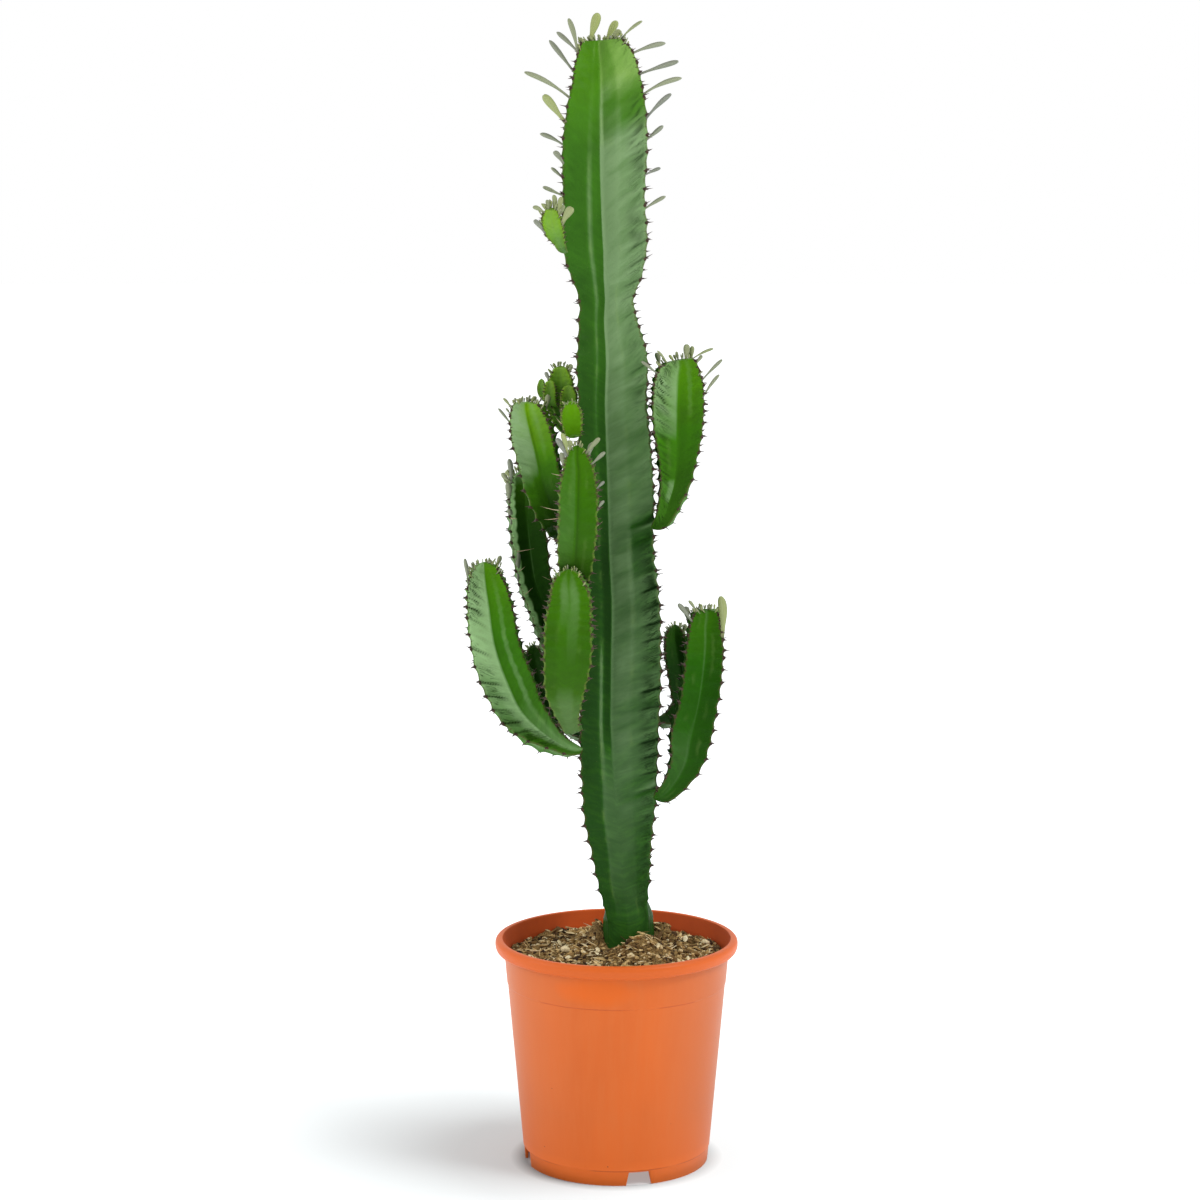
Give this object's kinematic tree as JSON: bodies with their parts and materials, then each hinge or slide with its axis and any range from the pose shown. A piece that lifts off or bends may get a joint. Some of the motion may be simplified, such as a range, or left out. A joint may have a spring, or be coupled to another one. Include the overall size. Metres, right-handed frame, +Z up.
{
  "type": "potted candelabra euphorbia",
  "caption": "Tall ribbed spiny succulent with upright side arms and small leaves, rooted in soil in a round plastic nursery pot; a free-standing house plant.",
  "frame": {"origin": "middle of the foot of the bounding box, on the ground; the pot's axis stands 13.5 mm to the right of it", "axes": "+Z up along the pot's axis, +X to the right and +Y away from the viewer as the picture shows the plant"},
  "size_m": [0.2392, 0.21, 0.9742],
  "materials": {
    "pot_plastic": "satin",
    "potting_soil": "matte",
    "trunk_green": "satin",
    "arm_green": "satin"
  },
  "bodies": {
    "root": {"pot": "pot_plastic", "soil": "potting_soil", "trunk": "trunk_green", "arm_A": "arm_green", "arm_B": "arm_green", "arm_C": "arm_green", "arm_D": "arm_green", "arm_E": "arm_green", "arm_F": "arm_green", "arm_G": "arm_green", "arm_H": "arm_green", "arm_I": "arm_green", "arm_J": "arm_green", "arm_K": "arm_green", "arm_L": "arm_green"}
  },
  "joints": []
}
